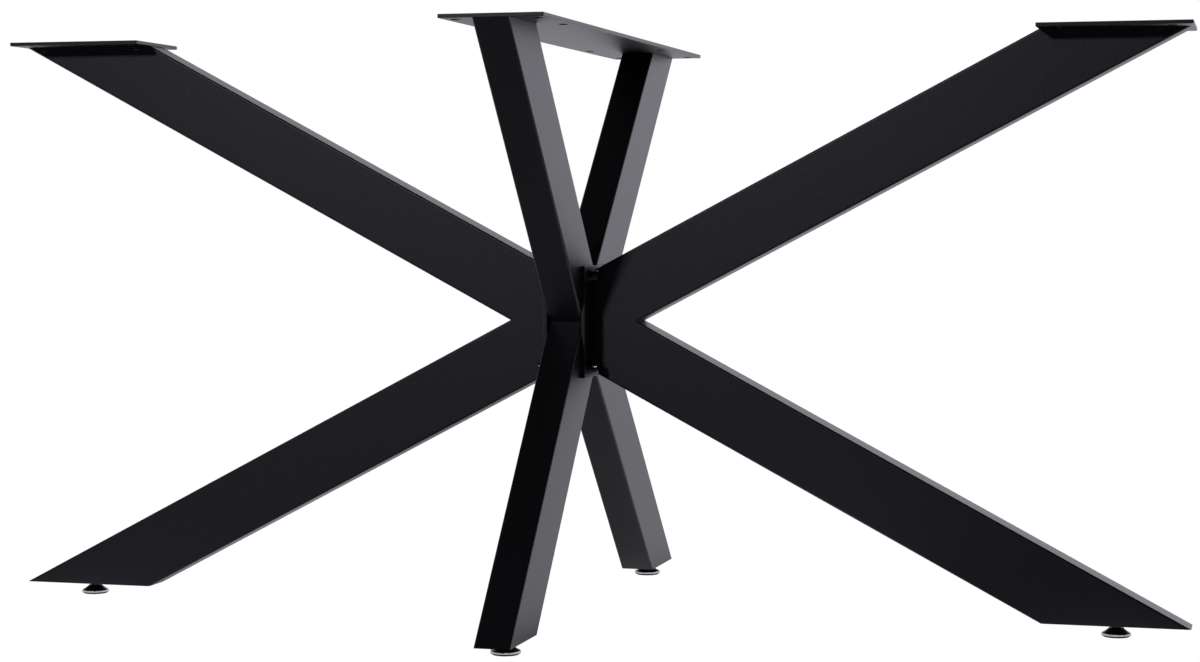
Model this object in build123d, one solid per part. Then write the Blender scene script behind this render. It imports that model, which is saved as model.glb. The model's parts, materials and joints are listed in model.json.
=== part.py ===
from build123d import *
import os
from math import atan2, cos, sin, tan

# Overall sizes in millimetres: X along the table, Y to the rear, Z up from the floor
frame_height = 716.0
frame_length = 1488.0
front_reach = 356.0
rear_reach = 413.0
crossing_height = 365.0
front_crease = 53.5
rear_crease = 57.5
notch_reach = 81.0
upper_set_back = 7.5

# Rectangular steel tube, the same for every leg and arm
tube_deep = 81.0
tube_thick = 43.0
tube_wall = 2.0
tube_corner = 2.5
inner_corner = 0.8

# Top plates that the table top is screwed to
plate_thick = 4.5
plate_width = 122.0
plate_corner = 1.0
plate_edge = 0.4
side_plate_overhang = 4.0
slot_width = 10.0
slot_length = 18.0
slot_spread = 96.0
slot_end = 24.0
inner_slot_span = 463.0
side_slot_end = 24.0
side_slot_spread = 84.0

# Flange plates and the bolts that hold the side frames to the centre frame
flange_thick = 4.5
flange_deep = 124.0
flange_high = 136.0
bolt_across = 82.0
bolt_apart = 112.0
bolt_diameter = 8.0
bolt_length = 20.0
bolt_head_diameter = 13.0
bolt_head_high = 8.0
bolt_head_edge = 0.8
bolt_socket_flats = 6.0
bolt_socket_deep = 4.0
bolt_hole = 9.0
bolt_nut_flats = 13.0
bolt_nut_high = 6.5
washer_diameter = 17.0
washer_thick = 1.6
spring_diameter = 13.5
spring_thick = 2.0
spring_gap = 1.0

# Levelling feet, screwed home
foot_height = 14.5
foot_diameter = 35.0
pad_high = 0.8
pad_inset = 2.6
rim_high = 2.6
rim_round = 2.2
rim_floor = 1.8
rim_wall = 0.8
cone_high = 6.0
cone_top = 18.0
cone_edge = 0.6
collar_diameter = 11.5
stud_diameter = 10.0
stud_length = 29.0
stud_tip = 1.2
stud_head = 20.0
stud_head_high = 2.2
stud_hole = 11.0
stud_nut_flats = 17.0
stud_nut_high = 8.0
end_plate_thick = 3.0

# Clearances
thread_clearance = 0.05
seat_clearance = 0.1
weld_clearance = 0.1

# Levels and places that follow from the sizes above
crossing_y = (front_reach - rear_reach) / 2
crossing = Vector(0, crossing_y, crossing_height)
plate_under = frame_height - plate_thick
flange_in = tube_thick / 2
flange_out = flange_in + flange_thick
floor_cut = Plane((0, 0, foot_height))
top_cut = Plane((0, 0, plate_under), z_dir=(0, 0, -1))
inner_cut = Plane((0, 0, foot_height + end_plate_thick), z_dir=(0, 0, -1))
grounded = (Align.CENTER, Align.CENTER, Align.MIN)
ends = {"front": -1, "rear": 1}
sides = {"left": -1, "right": 1}
levels = {"upper": 1, "lower": -1}
reaches = {"front": front_reach, "rear": rear_reach}
creases = {"front": front_crease, "rear": rear_crease}
heights = {"upper": plate_under - crossing_height, "lower": crossing_height - foot_height}
tips = {"upper": frame_length / 2 - upper_set_back, "lower": frame_length / 2}


def lean_of(end, level):
    # Lean from upright of a leg, whose outer face runs from the crease at the crossing out to its reach
    return atan2(reaches[end] - creases[end], heights[level])


def half_cut(end, level):
    # Half the width of a level cut through a leg
    return tube_deep / 2 / cos(lean_of(end, level))


def leg_axis(end, level):
    # A leg's middle at the height of the crossing, and the way it runs
    lean = lean_of(end, level)
    start = crossing + Vector(0, ends[end] * (creases[end] - half_cut(end, level)), 0)
    return start, Vector(0, ends[end] * sin(lean), levels[level] * cos(lean))


def mitre_of(level):
    # Y of the upright plane through the notch where the inner faces of front and rear leg meet
    front_inner = 2 * half_cut("front", level) - front_crease
    rear_inner = rear_crease - 2 * half_cut("rear", level)
    front_tan, rear_tan = tan(lean_of("front", level)), tan(lean_of("rear", level))
    notch_rise = (front_inner - rear_inner) / (front_tan + rear_tan)
    return crossing_y + front_inner - notch_rise * front_tan


def slope_of(level):
    # Slope of an arm, whose outer edge runs from the notch of the V to its tip
    return atan2(heights[level], tips[level] - notch_reach)


def arm_cut(level):
    # Width of a level cut through an arm
    return tube_deep / sin(slope_of(level))


def arm_axis(side, level):
    slope = slope_of(level)
    start = crossing + Vector(sides[side] * (notch_reach - arm_cut(level) / 2), 0, 0)
    return start, Vector(sides[side] * cos(slope), 0, levels[level] * sin(slope))


def trimmed(bar, planes):
    # Keep the part of a bar that lies on the side each plane faces
    for plane in planes:
        bar = split(bar, bisect_by=plane, keep=Keep.TOP)
    return bar


def bar_along(start, direction, thin_side, inset, corner):
    # Rounded rectangular bar both ways along a direction, smaller than the tube by an inset all round
    section = RectangleRounded(tube_thick - 2 * inset, tube_deep - 2 * inset, corner)
    plane = Plane(start, x_dir=thin_side, z_dir=direction)
    return extrude(plane * section, amount=frame_length, both=True)


def tube_along(start, direction, thin_side):
    outer = bar_along(start, direction, thin_side, 0, tube_corner)
    return outer - bar_along(start, direction, thin_side, tube_wall, inner_corner)


def end_plate(start, direction, thin_side, foot_x, foot_y):
    # Plate inside a tube end, flush with its level cut, with the hole for the foot's stud
    plug = bar_along(start, direction, thin_side, tube_wall + weld_clearance, inner_corner)
    plate = trimmed(plug, [floor_cut, inner_cut])
    return plate - Pos(foot_x, foot_y, foot_height) * Cylinder(stud_hole / 2, 4 * end_plate_thick)


def flat_plate(size_x, size_y, thick):
    plate = extrude(RectangleRounded(size_x, size_y, plate_corner), amount=thick)
    rows = plate.edges().group_by(Axis.Z)
    return chamfer(rows[0] + rows[-1], plate_edge)


def screw_slot():
    # Slot across the table, so that a wooden top can move with the seasons
    return extrude(SlotOverall(slot_length, slot_width, rotation=90), amount=2 * plate_thick, both=True)


def hexagon(flats, height):
    return extrude(RegularPolygon(flats / 2, 6, major_radius=False), amount=height)


def flange_bolt():
    # Socket-head bolt: head above the plane of its seat, shank below
    head = Cylinder(bolt_head_diameter / 2, bolt_head_high, align=grounded)
    head = chamfer(head.edges().group_by(Axis.Z)[-1], bolt_head_edge)
    socket = Pos(0, 0, bolt_head_high - bolt_socket_deep) * hexagon(bolt_socket_flats, bolt_head_high)
    shank = Pos(0, 0, -bolt_length / 2) * Cylinder(bolt_diameter / 2, bolt_length)
    return head + shank - socket


def bolt_ring(diameter, thick):
    ring = Cylinder(diameter / 2, thick, align=grounded)
    return ring - Cylinder(bolt_diameter / 2 + thread_clearance, 4 * thick)


def spring_washer():
    # Ring that is split on one side
    split_cut = Pos(spring_diameter / 2, 0, 0) * Box(spring_diameter, spring_gap, 4 * spring_thick)
    return bolt_ring(spring_diameter, spring_thick) - split_cut


def flange_nut():
    bore = Cylinder(bolt_diameter / 2 + thread_clearance, 4 * bolt_nut_high)
    return hexagon(bolt_nut_flats, bolt_nut_high) - bore


def stud_nut():
    bore = Cylinder(stud_diameter / 2 + thread_clearance, 4 * stud_nut_high)
    return hexagon(stud_nut_flats, stud_nut_high) - bore


# The pieces of one foot, stacked up from the floor on its own axis
seat_level = pad_high + rim_floor
lip_level = pad_high + rim_high
collar_level = lip_level + cone_high
cone_radius = foot_diameter / 2 - rim_wall - seat_clearance


def foot_pad():
    return Cylinder(foot_diameter / 2 - pad_inset, pad_high, align=grounded)


def foot_rim():
    # Pressed dish with a round lower edge and a thin lip around the cone
    dish = Pos(0, 0, pad_high) * Cylinder(foot_diameter / 2, rim_high, align=grounded)
    dish = fillet(dish.edges().group_by(Axis.Z)[0], rim_round)
    return dish - Pos(0, 0, seat_level) * Cylinder(foot_diameter / 2 - rim_wall, rim_high, align=grounded)


def foot_cone():
    # Moulded cone that stands in the dish, hollowed under for the head of the stud
    skirt = Pos(0, 0, seat_level) * Cylinder(cone_radius, lip_level - seat_level, align=grounded)
    cone = Pos(0, 0, lip_level) * Cone(cone_radius, cone_top / 2, cone_high, align=grounded)
    cone = chamfer(cone.edges().group_by(Axis.Z)[-1], cone_edge)
    head_room = Cylinder(stud_head / 2 + thread_clearance, stud_head_high + seat_clearance, align=grounded)
    bore = Cylinder(stud_diameter / 2 + thread_clearance, 4 * foot_height)
    return skirt + cone - Pos(0, 0, seat_level) * head_room - bore


def foot_stud():
    # Stud with its head held between dish and cone, and a collar that stops against the end plate
    head = Cylinder(stud_head / 2, stud_head_high, align=grounded)
    shank = Cylinder(stud_diameter / 2, foot_height + stud_length - seat_level, align=grounded)
    shank = chamfer(shank.edges().group_by(Axis.Z)[-1], stud_tip)
    collar = Cylinder(collar_diameter / 2, foot_height - seat_clearance - collar_level, align=grounded)
    return Pos(0, 0, seat_level) * (head + shank) + Pos(0, 0, collar_level) * collar


def write(name, solids):
    shape = solids[0] if len(solids) == 1 else Compound(solids)
    shape.label = name
    export_step(shape, os.path.join("parts", name + ".step"))


def write_foot(name, foot_x, foot_y):
    place = Pos(foot_x, foot_y, 0)
    write(name + "_stud_nut", [Pos(foot_x, foot_y, foot_height + end_plate_thick) * stud_nut()])
    write(name + "_foot_stud", [place * foot_stud()])
    write(name + "_foot_cone", [place * foot_cone()])
    write(name + "_foot_rim", [place * foot_rim()])
    write(name + "_foot_pad", [place * foot_pad()])


os.makedirs("parts", exist_ok=True)

# Centre frame: four legs mitred at the crossing, with bolt holes through their side walls
for end, toward in ends.items():
    bolt_y = crossing_y + toward * bolt_across / 2
    for level, rising in levels.items():
        start, direction = leg_axis(end, level)
        mitre = Plane((0, mitre_of(level), 0), z_dir=(0, toward, 0))
        half = Plane(crossing, z_dir=(0, 0, rising))
        leg = trimmed(tube_along(start, direction, (1, 0, 0)), [mitre, half, floor_cut, top_cut])
        bolt_place = Pos(0, bolt_y, crossing_height + rising * bolt_apart / 2) * Rot(0, 90, 0)
        write(f"{end}_{level}_tube", [leg - bolt_place * Cylinder(bolt_hole / 2, 2 * tube_thick)])
    foot_y = crossing_y + toward * (reaches[end] - half_cut(end, "lower"))
    start, direction = leg_axis(end, "lower")
    write(end + "_end_plate", [end_plate(start, direction, (1, 0, 0), 0, foot_y)])
    write_foot(end, 0, foot_y)

# Long plate over the centre frame, its ends level with the outer faces of the legs
plate_front = crossing_y - front_reach
plate_rear = crossing_y + rear_reach
plate_mid = (plate_front + plate_rear) / 2
centre_plate = Pos(0, plate_mid, plate_under) * flat_plate(plate_width, plate_rear - plate_front, plate_thick)
inner_slots = (crossing_y - inner_slot_span / 2, crossing_y + inner_slot_span / 2)
for slot_x in (-slot_spread / 2, slot_spread / 2):
    for slot_y in (plate_front + slot_end, *inner_slots, plate_rear - slot_end):
        centre_plate -= Pos(slot_x, slot_y, plate_under) * screw_slot()
write("centre_top_plate", [centre_plate])

# Side frames: two arms mitred to a V, a short top plate and an upright flange plate
for side, outward in sides.items():
    flange_face = Plane((outward * flange_out, 0, 0), z_dir=(outward, 0, 0))
    for level, rising in levels.items():
        start, direction = arm_axis(side, level)
        half = Plane(crossing, z_dir=(0, 0, rising))
        arm = trimmed(tube_along(start, direction, (0, 1, 0)), [flange_face, half, floor_cut, top_cut])
        write(f"{side}_{level}_arm", [arm])
    foot_x = outward * (tips["lower"] - arm_cut("lower") / 2)
    start, direction = arm_axis(side, "lower")
    write(side + "_end_plate", [end_plate(start, direction, (0, 1, 0), foot_x, crossing_y)])
    write_foot(side, foot_x, crossing_y)

    plate_length = arm_cut("upper") + side_plate_overhang
    plate_x = outward * (tips["upper"] + side_plate_overhang - plate_length / 2)
    side_plate = Pos(plate_x, crossing_y, plate_under) * flat_plate(plate_length, plate_width, plate_thick)
    for along in (-1, 1):
        slot_x = plate_x + along * (plate_length / 2 - side_slot_end)
        for across in (-1, 1):
            slot_y = crossing_y + across * side_slot_spread / 2
            side_plate -= Pos(slot_x, slot_y, plate_under) * screw_slot()
    write(side + "_top_plate", [side_plate])

    seat = Plane((outward * flange_in, crossing_y, crossing_height), x_dir=(0, 1, 0), z_dir=(outward, 0, 0))
    flange = flat_plate(flange_deep, flange_high, flange_thick)
    bolts, springs, washers, nuts = [], [], [], []
    for across in (-bolt_across / 2, bolt_across / 2):
        for apart in (-bolt_apart / 2, bolt_apart / 2):
            spot = Pos(across, apart, 0)
            flange -= spot * Cylinder(bolt_hole / 2, 4 * flange_thick)
            nuts.append(seat * spot * Pos(0, 0, -tube_wall - bolt_nut_high) * flange_nut())
            washers.append(seat * spot * Pos(0, 0, flange_thick) * bolt_ring(washer_diameter, washer_thick))
            springs.append(seat * spot * Pos(0, 0, flange_thick + washer_thick) * spring_washer())
            bolts.append(seat * spot * Pos(0, 0, flange_thick + washer_thick + spring_thick) * flange_bolt())
    write(side + "_flange_plate", [seat * flange])
    write(side + "_flange_bolts", bolts)
    write(side + "_spring_washers", springs)
    write(side + "_flange_washers", washers)
    write(side + "_flange_nuts", nuts)
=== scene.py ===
import json
import math

import bpy
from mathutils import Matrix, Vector

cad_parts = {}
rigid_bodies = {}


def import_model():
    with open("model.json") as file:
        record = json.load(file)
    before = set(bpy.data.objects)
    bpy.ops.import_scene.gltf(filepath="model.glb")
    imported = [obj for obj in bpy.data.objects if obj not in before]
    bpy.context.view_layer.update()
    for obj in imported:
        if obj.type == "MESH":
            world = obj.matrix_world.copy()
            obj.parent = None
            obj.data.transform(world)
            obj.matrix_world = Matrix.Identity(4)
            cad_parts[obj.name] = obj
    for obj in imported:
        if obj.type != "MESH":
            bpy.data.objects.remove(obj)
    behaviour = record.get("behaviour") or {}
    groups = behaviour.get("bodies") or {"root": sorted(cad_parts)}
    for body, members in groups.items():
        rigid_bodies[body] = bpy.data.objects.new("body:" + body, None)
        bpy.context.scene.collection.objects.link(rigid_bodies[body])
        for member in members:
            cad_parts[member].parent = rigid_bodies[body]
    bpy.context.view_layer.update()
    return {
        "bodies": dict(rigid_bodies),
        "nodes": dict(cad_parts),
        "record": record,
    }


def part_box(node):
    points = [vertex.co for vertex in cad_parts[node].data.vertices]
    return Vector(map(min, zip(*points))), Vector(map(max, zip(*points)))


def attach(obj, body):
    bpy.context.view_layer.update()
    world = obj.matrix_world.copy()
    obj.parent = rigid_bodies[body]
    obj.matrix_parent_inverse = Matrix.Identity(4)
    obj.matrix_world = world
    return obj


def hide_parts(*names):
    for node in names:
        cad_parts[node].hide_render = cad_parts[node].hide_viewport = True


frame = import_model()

print("frame loaded:", len(frame["nodes"]), "pieces")


class Wire:  # one socket, so that shader sums read as Python
    def __init__(self, bench, socket):
        self.bench = bench
        self.socket = socket

    def calc(self, operation, first, second):
        return self.bench.add("ShaderNodeMath", {"operation": operation}, {0: first, 1: second})

    def __add__(self, other):
        return self.calc("ADD", self, other)

    def __sub__(self, other):
        return self.calc("SUBTRACT", self, other)

    def __rsub__(self, other):
        return self.calc("SUBTRACT", other, self)

    def __mul__(self, other):
        return self.calc("MULTIPLY", self, other)

    __radd__ = __add__
    __rmul__ = __mul__


class Bench:  # a node tree, and the one way a node is put in it
    def __init__(self, tree):
        self.tree = tree
        tree.nodes.clear()

    def add(self, kind, settings=None, sockets=None, out=0):
        node = self.tree.nodes.new(kind)
        for name, value in (settings or {}).items():
            setattr(node, name, value)
        for name, value in (sockets or {}).items():
            if isinstance(value, Wire):
                self.tree.links.new(value.socket, node.inputs[name])
            else:
                node.inputs[name].default_value = value
        return Wire(self, node.outputs[out]) if len(node.outputs) else node

    def place(self):  # where a point lies on its piece, in metres
        return self.add("ShaderNodeTexCoord", out="Object")

    def blend(self, factor, first, second):  # colours, never through a Math node
        return self.add("ShaderNodeMix", {"data_type": "RGBA"}, {0: factor, 6: first, 7: second}, out=2)

    def noise(self, place, size, detail=2.0, fineness=0.5):  # size of one grain in metres
        sockets = {"Vector": place, "Scale": 1 / size, "Detail": detail, "Roughness": fineness}
        return self.add("ShaderNodeTexNoise", {}, sockets)

    def ramp(self, value, low, high):  # smooth step from 0 to 1 between two levels
        sockets = {"Value": value, "From Min": low, "From Max": high, "To Min": 0.0, "To Max": 1.0}
        return self.add("ShaderNodeMapRange", {"interpolation_type": "SMOOTHSTEP"}, sockets)

    def bump(self, height):  # height in metres
        return self.add("ShaderNodeBump", {}, {"Height": height, "Distance": 1.0, "Strength": 1.0})


def makeMaterial(name, paint):
    material = bpy.data.materials.new(name)
    material.use_nodes = True
    bench = Bench(material.node_tree)
    bench.add("ShaderNodeOutputMaterial", sockets={"Surface": paint(bench)})
    return material


# Powder coat on the tubes and plates: near black, with a fine grain and a slow orange peel
powderCoat = {
    "pit": (0.0018, 0.0018, 0.0021, 1),
    "grain": (0.0042, 0.0041, 0.0050, 1),
    "pitLevel": 0.35,
    "grainLevel": 0.7,
    "grainSize": 0.0011,
    "grainDetail": 3.0,
    "grainFineness": 0.6,
    "grainMiddle": 0.5,
    "grainHeight": 0.00003,
    "peelSize": 0.0065,
    "peelDetail": 1.0,
    "peelHeight": 0.00008,
    "roughness": 0.44,
    "roughnessSwing": 0.08,
    "ior": 1.55,
    "glossTint": (0.85, 0.82, 1.0, 1),
}


def paintPowderCoat(bench):
    look = powderCoat
    place = bench.place()
    grain = bench.noise(place, look["grainSize"], look["grainDetail"], look["grainFineness"])
    peel = bench.noise(place, look["peelSize"], look["peelDetail"])
    colour = bench.blend(bench.ramp(grain, look["pitLevel"], look["grainLevel"]), look["pit"], look["grain"])
    rough = look["roughness"] + (grain - look["grainMiddle"]) * look["roughnessSwing"]
    bump = bench.bump(grain * look["grainHeight"] + peel * look["peelHeight"])
    return bench.add("ShaderNodeBsdfPrincipled", {}, {
        "Base Color": colour, "Roughness": rough, "IOR": look["ior"],
        "Specular Tint": look["glossTint"], "Normal": bump})


# Glossy black plating on bolts, washers and studs, with the steel showing through a little
blackPlating = {
    "dark": (0.020, 0.020, 0.022, 1),
    "worn": (0.20, 0.195, 0.19, 1),
    "darkLevel": 0.45,
    "wornLevel": 0.75,
    "patchSize": 0.0016,
    "patchDetail": 3.0,
    "dentSize": 0.0011,
    "dentDetail": 2.0,
    "dentHeight": 0.00005,
    "roughness": 0.14,
    "roughnessSwing": 0.16,
    "metal": 0.85,
    "ior": 1.6,
}


def paintBlackPlating(bench):
    look = blackPlating
    place = bench.place()
    patch = bench.noise(place, look["patchSize"], look["patchDetail"])
    dent = bench.noise(place, look["dentSize"], look["dentDetail"])
    colour = bench.blend(bench.ramp(patch, look["darkLevel"], look["wornLevel"]), look["dark"], look["worn"])
    return bench.add("ShaderNodeBsdfPrincipled", {}, {
        "Base Color": colour, "Roughness": look["roughness"] + patch * look["roughnessSwing"],
        "Metallic": look["metal"], "IOR": look["ior"], "Normal": bench.bump(dent * look["dentHeight"])})


# Plain zinc on the hidden nuts
plainZinc = {
    "pale": (0.52, 0.52, 0.53, 1),
    "dull": (0.36, 0.36, 0.38, 1),
    "patchSize": 0.004,
    "patchDetail": 4.0,
    "roughness": 0.32,
    "roughnessSwing": 0.15,
}


def paintPlainZinc(bench):
    look = plainZinc
    patch = bench.noise(bench.place(), look["patchSize"], look["patchDetail"])
    return bench.add("ShaderNodeBsdfPrincipled", {}, {
        "Base Color": bench.blend(patch, look["pale"], look["dull"]),
        "Roughness": look["roughness"] + patch * look["roughnessSwing"], "Metallic": 1.0})


# Moulded black plastic on the cones of the feet
mouldedCone = {
    "dark": (0.005, 0.005, 0.0055, 1),
    "light": (0.010, 0.010, 0.011, 1),
    "grainSize": 0.0006,
    "grainHeight": 0.00001,
    "roughness": 0.3,
    "roughnessSwing": 0.1,
    "ior": 1.48,
}


def paintMouldedCone(bench):
    look = mouldedCone
    grain = bench.noise(bench.place(), look["grainSize"])
    return bench.add("ShaderNodeBsdfPrincipled", {}, {
        "Base Color": bench.blend(grain, look["dark"], look["light"]),
        "Roughness": look["roughness"] + grain * look["roughnessSwing"],
        "IOR": look["ior"], "Normal": bench.bump(grain * look["grainHeight"])})


# Bright plating on the pressed dishes of the feet, a little uneven
brightRim = {
    "bright": (0.86, 0.85, 0.84, 1),
    "dull": (0.62, 0.61, 0.60, 1),
    "patchSize": 0.003,
    "patchDetail": 3.0,
    "dentSize": 0.006,
    "dentDetail": 1.0,
    "dentHeight": 0.0004,
    "roughness": 0.12,
    "roughnessSwing": 0.10,
}


def paintBrightRim(bench):
    look = brightRim
    place = bench.place()
    patch = bench.noise(place, look["patchSize"], look["patchDetail"])
    dent = bench.noise(place, look["dentSize"], look["dentDetail"])
    return bench.add("ShaderNodeBsdfPrincipled", {}, {
        "Base Color": bench.blend(patch, look["bright"], look["dull"]),
        "Roughness": look["roughness"] + patch * look["roughnessSwing"],
        "Metallic": 1.0, "Normal": bench.bump(dent * look["dentHeight"])})


# Soft pads under the feet
softPad = {
    "dark": (0.012, 0.012, 0.012, 1),
    "fibre": (0.035, 0.034, 0.033, 1),
    "fibreSize": 0.0007,
    "fibreDetail": 4.0,
    "fibreFineness": 0.7,
    "fibreHeight": 0.0001,
    "roughness": 0.85,
    "roughnessSwing": 0.1,
}


def paintSoftPad(bench):
    look = softPad
    fibre = bench.noise(bench.place(), look["fibreSize"], look["fibreDetail"], look["fibreFineness"])
    return bench.add("ShaderNodeBsdfPrincipled", {}, {
        "Base Color": bench.blend(fibre, look["dark"], look["fibre"]),
        "Roughness": look["roughness"] + fibre * look["roughnessSwing"],
        "Normal": bench.bump(fibre * look["fibreHeight"])})


finishes = {
    "powder_coat": makeMaterial("powderCoat", paintPowderCoat),
    "black_steel": makeMaterial("blackPlating", paintBlackPlating),
    "plain_steel": makeMaterial("plainZinc", paintPlainZinc),
    "foot_plastic": makeMaterial("mouldedCone", paintMouldedCone),
    "foot_chrome": makeMaterial("brightRim", paintBrightRim),
    "foot_pad": makeMaterial("softPad", paintSoftPad),
}

for row in frame["record"]["subparts"]:
    piece = frame["nodes"][row["node"]]
    piece.data.materials.clear()
    piece.data.materials.append(finishes[row["material_slot"]])

sharpAngle = math.radians(35)  # edges of the turned pieces that bend more than this stay crisp


# Each row has a level and a radius, or a function that gives the radius for a share of the turn.
# In a ring the last row joins the first, round a bore.
def turnPiece(corner, name, node, slot, rows, sides, ring=False):
    low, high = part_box(node)
    centre = (low + high) / 2
    points, faces = [], []
    for level, radius in rows:
        for side in range(sides):
            turn = 2 * math.pi * side / sides
            reach = radius(side / sides) if callable(radius) else radius
            points.append((centre.x + reach * math.cos(turn), centre.y + reach * math.sin(turn), level))
    for row in range(len(rows) if ring else len(rows) - 1):
        here, there = row * sides, (row + 1) % len(rows) * sides
        for side in range(sides):
            follow = (side + 1) % sides
            faces.append((here + side, here + follow, there + follow, there + side))
    if not ring:
        faces.append(tuple(range(sides))[::-1])
        faces.append(tuple(range((len(rows) - 1) * sides, len(rows) * sides)))
    mesh = bpy.data.meshes.new(name)
    mesh.from_pydata(points, [], faces)
    mesh.validate()
    mesh.shade_smooth()
    mesh.set_sharp_from_angle(angle=sharpAngle)
    mesh.materials.append(finishes[slot])
    piece = bpy.data.objects.new(name, mesh)
    bpy.context.collection.objects.link(piece)
    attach(piece, corner + "_foot")
    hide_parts(node)


# Studs of the feet, with a real thread in place of the plain cylinder
stud = {
    "radius": 0.005,
    "threadDepth": 0.0009,
    "pitch": 0.0015,
    "crestLift": 1.6,
    "flankSlope": 4.4,
    "stepsPerPitch": 8,
    "sides": 36,
    "headRadius": 0.010,
    "headHigh": 0.0022,
    "collarRadius": 0.00575,
    "collarGap": 0.0001,
    "collarEdge": 0.0003,
    "tip": 0.0012,
}


def threadRadius(level, turn, top):
    along = (level / stud["pitch"] - turn) % 1.0
    offCrest = abs(along - 0.5)  # the crest is in the middle of the pitch
    crest = min(1.0, max(0.0, stud["crestLift"] - offCrest * stud["flankSlope"]))
    tipCut = max(0.0, level - (top - stud["tip"]))
    return stud["radius"] - stud["threadDepth"] * (1 - crest) - tipCut


def buildStud(corner):
    node = corner + "_foot_stud"
    low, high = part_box(node)
    bottom, top = low.z, high.z
    shoulder = bottom + stud["headHigh"]
    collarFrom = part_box(corner + "_foot_cone")[1].z + cone["rise"]
    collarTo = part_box(corner + "_end_plate")[0].z - stud["collarGap"]
    edge = stud["collarEdge"]
    rows = [
        (bottom, stud["headRadius"]), (shoulder, stud["headRadius"]), (shoulder, stud["radius"]),
        (collarFrom, stud["radius"]), (collarFrom, stud["collarRadius"] - edge),
        (collarFrom + edge, stud["collarRadius"]), (collarTo - edge, stud["collarRadius"]),
        (collarTo, stud["collarRadius"] - edge)]
    threadStep = stud["pitch"] / stud["stepsPerPitch"]
    threadCount = int((top - collarTo) / threadStep)
    for step in range(threadCount + 1):
        level = collarTo + (top - collarTo) * step / threadCount
        rows.append((level, lambda share, level=level: threadRadius(level, share, top)))
    turnPiece(corner, corner + "ThreadedStud", node, "black_steel", rows, stud["sides"])


# Bright dish of a foot: a curved under-edge, an upright band and a rolled lip around the cone
dish = {
    "rise": 0.0012,  # above the solid's own lip
    "under": 0.0026,
    "underHigh": 0.0017,
    "underSteps": 8,
    "roll": 0.0004,
    "rollSteps": 8,
    "floor": 0.0018,
    "axis": 0.0002,
    "sides": 96,
}


def buildDish(corner):
    node = corner + "_foot_rim"
    low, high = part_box(node)
    bottom, lip, outer = low.z, high.z + dish["rise"], (high.x - low.x) / 2
    roll = dish["roll"]
    lipRadius = outer - roll
    rows = [(bottom, dish["axis"])]
    for step in range(dish["underSteps"] + 1):
        bend = math.pi / 2 * step / dish["underSteps"]
        level = bottom + dish["underHigh"] * (1 - math.cos(bend))
        rows.append((level, outer - dish["under"] * (1 - math.sin(bend))))
    for step in range(dish["rollSteps"] + 1):
        bend = math.pi * step / dish["rollSteps"]
        rows.append((lip - roll + roll * math.sin(bend), lipRadius + roll * math.cos(bend)))
    rows.append((bottom + dish["floor"], lipRadius - roll))
    rows.append((bottom + dish["floor"], dish["axis"]))
    turnPiece(corner, corner + "BrightDish", node, "foot_chrome", rows, dish["sides"])


# Moulded cone of a foot: a recess for the stud's head, a slightly hollow flank and a round top edge
cone = {
    "baseInset": 0.0013,
    "topRadius": 0.0088,
    "rise": 0.0013,  # above the solid's own top
    "flankDip": 0.0004,
    "flankSteps": 10,
    "topEdge": 0.0007,
    "edgeSteps": 5,
    "bore": 0.00505,
    "headGap": 0.0001,
    "sides": 96,
}


def buildCone(corner):
    node = corner + "_foot_cone"
    low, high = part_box(node)
    rimLow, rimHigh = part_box(corner + "_foot_rim")
    base = (rimHigh.x - rimLow.x) / 2 - cone["baseInset"]
    lip, top = rimHigh.z + dish["rise"], high.z + cone["rise"]
    topRadius, edge = cone["topRadius"], cone["topEdge"]
    recess = stud["headRadius"] + cone["headGap"]
    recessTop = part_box(corner + "_foot_stud")[0].z + stud["headHigh"] + cone["headGap"]
    rows = [(recessTop, cone["bore"]), (recessTop, recess), (low.z, recess), (low.z, base), (lip, base)]
    for step in range(1, cone["flankSteps"] + 1):
        share = step / cone["flankSteps"]
        dip = cone["flankDip"] * math.sin(math.pi * share)
        rows.append((lip + (top - edge - lip) * share, base + (topRadius - base) * share - dip))
    for step in range(1, cone["edgeSteps"] + 1):
        bend = math.pi / 2 * step / cone["edgeSteps"]
        rows.append((top - edge * (1 - math.sin(bend)), topRadius - edge * (1 - math.cos(bend))))
    rows.append((top, cone["bore"]))
    turnPiece(corner, corner + "MouldedCone", node, "foot_plastic", rows, cone["sides"], ring=True)


corners = ("front", "rear", "left", "right")
for corner in corners:
    buildStud(corner)
    buildDish(corner)
    buildCone(corner)
print("feet in place: studs, dishes and cones")


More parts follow.
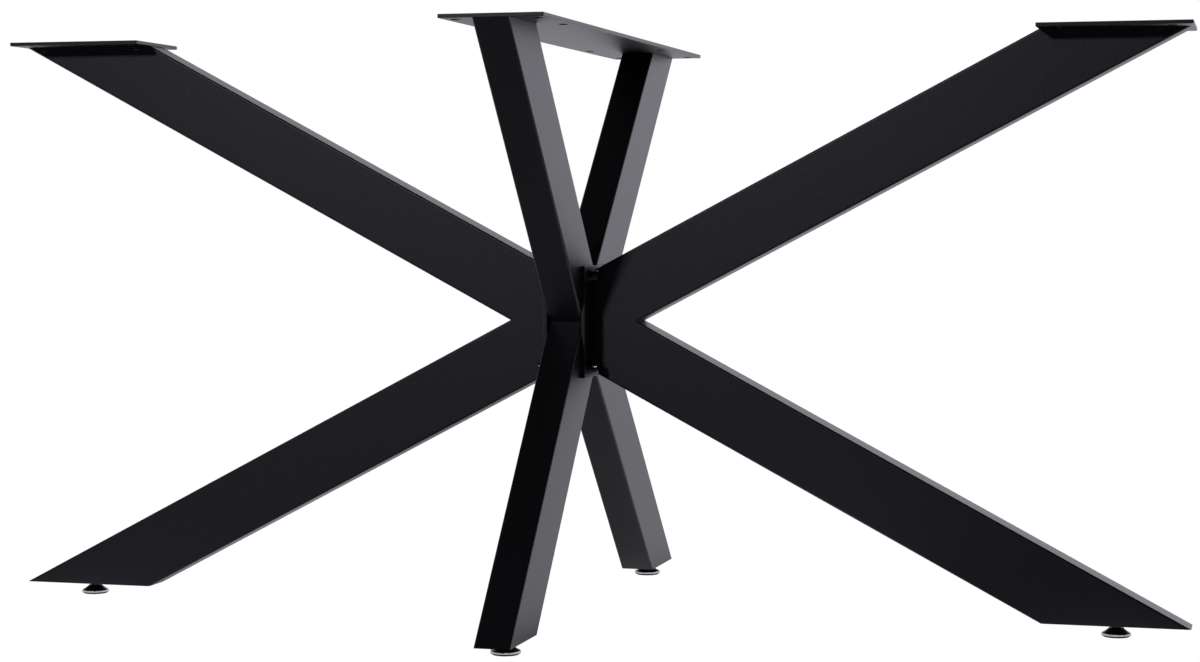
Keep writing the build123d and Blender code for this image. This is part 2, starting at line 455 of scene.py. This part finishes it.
# Floor, white to the viewer. In the mirror of the finish it glows with painted light and shade: bright at
# the back, dim in front, painted shade under the frame, and a painted pool of light and a painted shadow
# ring at each foot.
floorLook = {
    "half": 14.0,
    "colour": (0.86, 0.86, 0.86, 1),
    "seenShare": 0.8,  # the rest takes the shadow
    "seenTone": (1.22, 1.22, 1.22, 1),
    "mirroredShare": 0.85,
    # painted shade strip under the frame, from front to rear
    "shadeMiddle": -0.11,
    "shadeFrom": 0.09,
    "shadeTo": 0.24,
    "shadeFrontTone": (0.05, 0.05, 0.05, 1),
    "shadeRearTone": (0.42, 0.42, 0.42, 1),
    "shadeFront": -0.5,
    "shadeRear": 0.4,
    # painted light levels of the open floor on both sides of the strip, and painted shade far in front
    "openFront": -0.2,
    "openRear": 0.15,
    "openLeftTone": (0.29, 0.29, 0.29, 1),
    "openRightTone": (0.11, 0.11, 0.11, 1),
    "openLeft": -0.7,
    "openRight": -0.1,
    "farTone": (0.04, 0.04, 0.04, 1),
    "farFrom": -2.0,
    "farTo": -0.8,
    # painted light: bright floor at the back, which reaches forward just right of the legs
    "paintedRearLightTone": (1.08, 1.08, 1.15, 1),
    "rearFrom": 0.4,
    "rearTo": 0.9,
    "besideShift": 0.35,
    "besideFrom": 0.0,
    "besideTo": 0.1,
    "besideFadeFrom": 0.25,
    "besideFadeTo": 0.45,
    # painted pool of light round a foot, and the painted shadow ring where it stands
    "paintedLightPoolTone": (0.72, 0.72, 0.72, 1),
    "paintedLightPoolFrom": 0.045,
    "paintedLightPoolTo": 0.09,
    "paintedFootShadowTone": (0.03, 0.03, 0.03, 1),
    "paintedFootShadowFrom": 0.0195,
    "paintedFootShadowTo": 0.0255,
}


def reachFromFoot(bench, place):  # distance to the nearest foot, no further than the painted pool of light
    reach = floorLook["paintedLightPoolTo"]
    for corner in corners:
        low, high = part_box(corner + "_foot_pad")
        middle = (low + high) / 2
        ends = {0: place, 1: (middle.x, middle.y, 0)}
        distance = bench.add("ShaderNodeVectorMath", {"operation": "DISTANCE"}, ends, out="Value")
        reach = distance.calc("MINIMUM", distance, reach)
    return reach


def paintedFloorLight(bench):
    look = floorLook
    place = bench.place()
    rearward = bench.add("ShaderNodeSeparateXYZ", {}, {"Vector": place}, out="Y")
    rightward = bench.add("ShaderNodeSeparateXYZ", {}, {"Vector": place}, out="X")
    aside = bench.add("ShaderNodeMath", {"operation": "ABSOLUTE"}, {0: rightward - look["shadeMiddle"]})
    # painted shade strip under the frame, darker in front
    along = bench.ramp(rearward, look["shadeFront"], look["shadeRear"])
    shade = bench.blend(along, look["shadeFrontTone"], look["shadeRearTone"])
    # painted light levels of the open floor, with painted shade far in front
    across = bench.ramp(rightward, look["openLeft"], look["openRight"])
    clear = bench.blend(across, look["openLeftTone"], look["openRightTone"])
    ahead = bench.blend(bench.ramp(rearward, look["farFrom"], look["farTo"]), look["farTone"], clear)
    # painted light of the bright back floor, reaching forward just right of the legs
    forward = bench.ramp(rightward, look["besideFrom"], look["besideTo"])
    fade = bench.ramp(rightward, look["besideFadeFrom"], look["besideFadeTo"])
    opening = rearward + (forward - fade) * look["besideShift"]
    beside = bench.blend(bench.ramp(opening, look["openFront"], look["openRear"]), ahead, look["paintedRearLightTone"])
    near = bench.blend(bench.ramp(aside, look["shadeFrom"], look["shadeTo"]), shade, beside)
    far = bench.blend(bench.ramp(rearward, look["rearFrom"], look["rearTo"]), near, look["paintedRearLightTone"])
    reach = reachFromFoot(bench, place)
    # painted pool of light round each foot, then the painted shadow ring where it stands
    withLightPool = bench.blend(bench.ramp(reach, look["paintedLightPoolFrom"], look["paintedLightPoolTo"]), look["paintedLightPoolTone"], far)
    return bench.blend(bench.ramp(reach, look["paintedFootShadowFrom"], look["paintedFootShadowTo"]), look["paintedFootShadowTone"], withLightPool)


def paintFloor(bench):
    look = floorLook
    seen = bench.add("ShaderNodeLightPath", out="Is Camera Ray")
    mirrored = bench.add("ShaderNodeLightPath", out="Is Glossy Ray")
    tone = bench.blend(seen, paintedFloorLight(bench), look["seenTone"])
    matt = bench.add("ShaderNodeBsdfDiffuse", {}, {"Color": look["colour"]})
    glow = bench.add("ShaderNodeEmission", {}, {"Color": tone, "Strength": 1.0})
    share = seen * look["seenShare"] + mirrored * look["mirroredShare"]
    return bench.add("ShaderNodeMixShader", {}, {0: share, 1: matt, 2: glow})


def buildFloor():
    half = floorLook["half"]
    outline = [(-half, -half, 0), (half, -half, 0), (half, half, 0), (-half, half, 0)]
    mesh = bpy.data.meshes.new("floor")
    mesh.from_pydata(outline, [], [(0, 1, 2, 3)])
    floor = bpy.data.objects.new("floor", mesh)
    bpy.context.collection.objects.link(floor)
    mesh.materials.append(makeMaterial("paleFloor", paintFloor))
    for corner in corners:  # the floor stays under the lowest foot when the feet are screwed out
        rest = floor.constraints.new("FLOOR")
        rest.target = frame["bodies"][corner + "_foot"]
        rest.floor_location = "FLOOR_NEGATIVE_Z"


buildFloor()


# Studio, white to the viewer. In the mirror of the finish its low walls are bright at the back and
# dim towards the viewer, and above them it is dim at the back and dark in front.
studio = {
    "seenTone": (1.0, 1.0, 1.0, 1),
    "wallTone": (1.32, 1.32, 1.41, 1),
    "frontTone": (0.03, 0.03, 0.03, 1),
    "frontFrom": -0.3,
    "backFrom": 0.8,
    "wallTop": 0.36,
    "darkFrom": 0.62,
    "aboveFrontTone": (0.0, 0.0, 0.0, 1),
    "aboveRearTone": (0.5, 0.5, 0.5, 1),
    "aboveFrom": 0.25,
    "aboveTo": 0.7,
}


def buildStudio():
    world = bpy.data.worlds.new("studio")
    bpy.context.scene.world = world
    world.use_nodes = True
    bench = Bench(world.node_tree)
    direction = bench.add("ShaderNodeTexCoord", out="Generated")
    upward = bench.add("ShaderNodeSeparateXYZ", {}, {"Vector": direction}, out="Z")
    rearward = bench.add("ShaderNodeSeparateXYZ", {}, {"Vector": direction}, out="Y")
    seen = bench.add("ShaderNodeLightPath", out="Is Camera Ray")
    backward = bench.ramp(rearward, studio["frontFrom"], studio["backFrom"])
    wall = bench.blend(backward, studio["frontTone"], studio["wallTone"])
    overhead = bench.ramp(rearward, studio["aboveFrom"], studio["aboveTo"])
    above = bench.blend(overhead, studio["aboveFrontTone"], studio["aboveRearTone"])
    room = bench.blend(bench.ramp(upward, studio["wallTop"], studio["darkFrom"]), wall, above)
    tone = bench.blend(seen, room, studio["seenTone"])
    light = bench.add("ShaderNodeBackground", {}, {"Color": tone, "Strength": 1.0})
    bench.add("ShaderNodeOutputWorld", {}, {"Surface": light})


buildStudio()

# Softbox high up in front, a little to the left
softbox = {"place": (-1.92, -6.15, 2.7), "aim": (0.0, 0.0, 0.38), "wide": 0.6, "high": 0.6, "watts": 83.0}


def buildSoftbox():
    lamp = bpy.data.lights.new("softbox", "AREA")
    lamp.shape = "RECTANGLE"
    lamp.size = softbox["wide"]
    lamp.size_y = softbox["high"]
    lamp.energy = softbox["watts"]
    light = bpy.data.objects.new("softbox", lamp)
    light.location = softbox["place"]
    light.rotation_euler = (Vector(softbox["aim"]) - light.location).to_track_quat("-Z", "Y").to_euler()
    bpy.context.collection.objects.link(light)


buildSoftbox()
print("floor, studio and softbox set")

# Camera at the photograph's viewing angle
view = {
    "aim": (0.02847, -0.0285, 0.3518),
    "turn": 15.141,
    "tilt": -2.643,
    "distance": 3.09945,
    "lens": 75.3,
    "sensor": 36.0,
}


def buildCamera():
    turn, tilt = math.radians(view["turn"]), math.radians(view["tilt"])
    forward = Vector((-math.sin(turn) * math.cos(tilt), math.cos(turn) * math.cos(tilt), math.sin(tilt)))
    lens = bpy.data.cameras.new("camera")
    lens.lens = view["lens"]
    lens.sensor_width = view["sensor"]
    lens.sensor_fit = "HORIZONTAL"
    camera = bpy.data.objects.new("camera", lens)
    camera.location = Vector(view["aim"]) - forward * view["distance"]
    camera.rotation_euler = forward.to_track_quat("-Z", "Y").to_euler()
    bpy.context.collection.objects.link(camera)
    bpy.context.scene.camera = camera


buildCamera()
bpy.context.scene.view_settings.view_transform = "Standard"
print("camera set")
